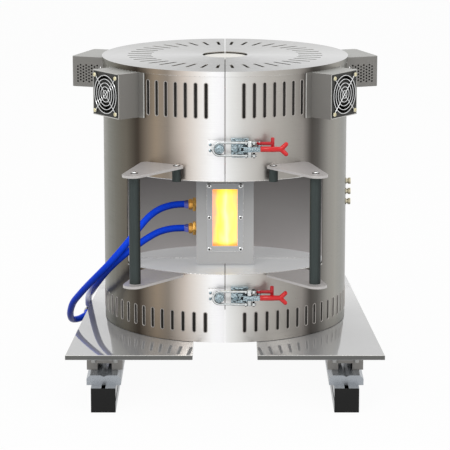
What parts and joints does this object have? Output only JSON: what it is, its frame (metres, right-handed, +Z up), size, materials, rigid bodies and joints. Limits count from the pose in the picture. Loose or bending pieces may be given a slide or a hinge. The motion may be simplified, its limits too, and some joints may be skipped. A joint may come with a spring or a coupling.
{
  "type": "electric gold melting furnace",
  "caption": "Upright split-shell electric melting furnace with a sight window, fans, water hoses, toggle latches and grips, on a deck that slides on rails.",
  "frame": {"origin": "centre of the object's box on the bench, between the two rails", "axes": "+Z up, +Y to the rear along the rails, -Y is the front with the window and the latches"},
  "size_m": [0.6465, 1.012, 0.646],
  "materials": {
    "brushed_stainless": "satin",
    "lid_stainless": "satin",
    "mirror_stainless": "polished",
    "dark_casing": "matte",
    "recess_steel": "satin",
    "ceramic_fibre": "matte",
    "cream_ceramic": "matte",
    "hot_rod": "matte",
    "duct_steel": "satin",
    "fan_black": "matte",
    "chrome_wire": "polished",
    "cream_screws": "satin",
    "handle_steel": "satin",
    "grip_black": "satin",
    "window_steel": "satin",
    "window_frame_steel": "satin",
    "glowing_glass": "gloss",
    "brass": "polished",
    "blue_hose": "gloss",
    "zinc": "satin",
    "red_grip": "gloss",
    "dark_red_grip": "gloss",
    "connector_metal": "satin",
    "rail_steel": "satin",
    "block_steel": "satin",
    "profile_aluminium": "satin",
    "cap_black": "matte",
    "post_steel": "satin"
  },
  "bodies": {
    "rail_frame": {"profile_left": "profile_aluminium", "profile_right": "profile_aluminium", "profile_end_caps": "cap_black", "guide_rails": "rail_steel"},
    "carriage": {"deck_plate": "mirror_stainless", "slide_blocks": "block_steel", "deck_bolts": "post_steel", "hinge_post": "post_steel", "hinge_pin": "post_steel", "water_manifold": "brass"},
    "left_half": {"left_shell": "brushed_stainless", "left_inner_casing": "dark_casing", "left_top_plate": "lid_stainless", "left_recess_liner": "recess_steel", "left_insulation": "ceramic_fibre", "left_heating_rods": "hot_rod", "left_hinge_knuckles": "handle_steel", "left_fan_duct": "duct_steel", "left_fan_frame": "fan_black", "left_fan_guard": "chrome_wire", "left_fasteners": "cream_screws", "left_terminal_box": "duct_steel", "left_handle_plates": "handle_steel", "left_handle_grip": "grip_black", "window_housing": "window_steel", "window_insulation": "ceramic_fibre", "window_frame": "window_frame_steel", "window_glass": "glowing_glass", "window_screws": "cream_screws", "water_nipples": "brass", "latch_catches": "zinc", "water_hose_upper": "blue_hose", "water_hose_lower": "blue_hose"},
    "right_half": {"right_shell": "brushed_stainless", "right_inner_casing": "dark_casing", "right_top_plate": "lid_stainless", "right_recess_liner": "recess_steel", "right_insulation": "ceramic_fibre", "right_heating_rods": "hot_rod", "right_hinge_knuckles": "handle_steel", "right_fan_duct": "duct_steel", "right_fan_frame": "fan_black", "right_fan_guard": "chrome_wire", "right_fasteners": "cream_screws", "right_terminal_box": "duct_steel", "right_handle_plates": "handle_steel", "right_handle_grip": "grip_black", "latch_bases": "zinc", "side_connectors": "connector_metal"},
    "left_fan": {"left_fan_rotor": "fan_black"},
    "right_fan": {"right_fan_rotor": "fan_black"},
    "top_plug": {"top_plug": "cream_ceramic"},
    "upper_latch_lever": {"upper_latch_lever": "zinc", "upper_latch_grip": "red_grip"},
    "upper_latch_bow": {"upper_latch_bow": "zinc"},
    "upper_latch_release": {"upper_latch_release": "dark_red_grip"},
    "lower_latch_lever": {"lower_latch_lever": "zinc", "lower_latch_grip": "red_grip"},
    "lower_latch_bow": {"lower_latch_bow": "zinc"},
    "lower_latch_release": {"lower_latch_release": "dark_red_grip"}
  },
  "joints": [
    {"name": "furnace_slide", "type": "slide", "parent": "rail_frame", "child": "carriage", "axis": [0, 1, 0], "range_m": [0, 0.25]},
    {"name": "left_swing", "type": "hinge", "parent": "carriage", "child": "left_half", "pos_m": [0, 0.154, 0.101], "axis": [0, 0, -1], "range_deg": [0, 65], "deforming": ["water_hose_upper", "water_hose_lower"]},
    {"name": "right_swing", "type": "hinge", "parent": "carriage", "child": "right_half", "pos_m": [0, 0.154, 0.101], "axis": [0, 0, 1], "range_deg": [0, 65]},
    {"name": "left_fan_spin", "type": "hinge", "parent": "left_half", "child": "left_fan", "pos_m": [-0.22761, -0.28352, 0.5905], "axis": [-0.7986, -0.6018, 0], "continuous": true},
    {"name": "right_fan_spin", "type": "hinge", "parent": "right_half", "child": "right_fan", "pos_m": [0.22761, -0.28352, 0.5905], "axis": [0.7986, -0.6018, 0], "continuous": true},
    {"name": "plug_lift", "type": "slide", "parent": "left_half", "child": "top_plug", "axis": [0, 0, 1], "range_m": [0, 0.1]},
    {"name": "upper_latch_turn", "type": "hinge", "parent": "right_half", "child": "upper_latch_lever", "pos_m": [0.03, -0.38, 0.497], "axis": [0, 0, -1], "range_deg": [0, 110]},
    {"name": "upper_bow_turn", "type": "hinge", "parent": "upper_latch_lever", "child": "upper_latch_bow", "pos_m": [0.048, -0.384, 0.497], "axis": [0, 0, -1], "range_deg": [-110, 0]},
    {"name": "upper_release_press", "type": "hinge", "parent": "upper_latch_lever", "child": "upper_latch_release", "pos_m": [0.067, -0.37, 0.506], "axis": [0, 0, -1], "range_deg": [0, 10], "stiffness_Nm_per_rad": 0.4},
    {"name": "lower_latch_turn", "type": "hinge", "parent": "right_half", "child": "lower_latch_lever", "pos_m": [0.03, -0.38, 0.199], "axis": [0, 0, -1], "range_deg": [0, 110]},
    {"name": "lower_bow_turn", "type": "hinge", "parent": "lower_latch_lever", "child": "lower_latch_bow", "pos_m": [0.048, -0.384, 0.199], "axis": [0, 0, -1], "range_deg": [-110, 0]},
    {"name": "lower_release_press", "type": "hinge", "parent": "lower_latch_lever", "child": "lower_latch_release", "pos_m": [0.067, -0.37, 0.208], "axis": [0, 0, -1], "range_deg": [0, 10], "stiffness_Nm_per_rad": 0.4}
  ],
  "couplings": [
    {"joint": "upper_bow_turn", "follows": "upper_latch_turn", "ratio": -1},
    {"joint": "lower_bow_turn", "follows": "lower_latch_turn", "ratio": -1}
  ]
}
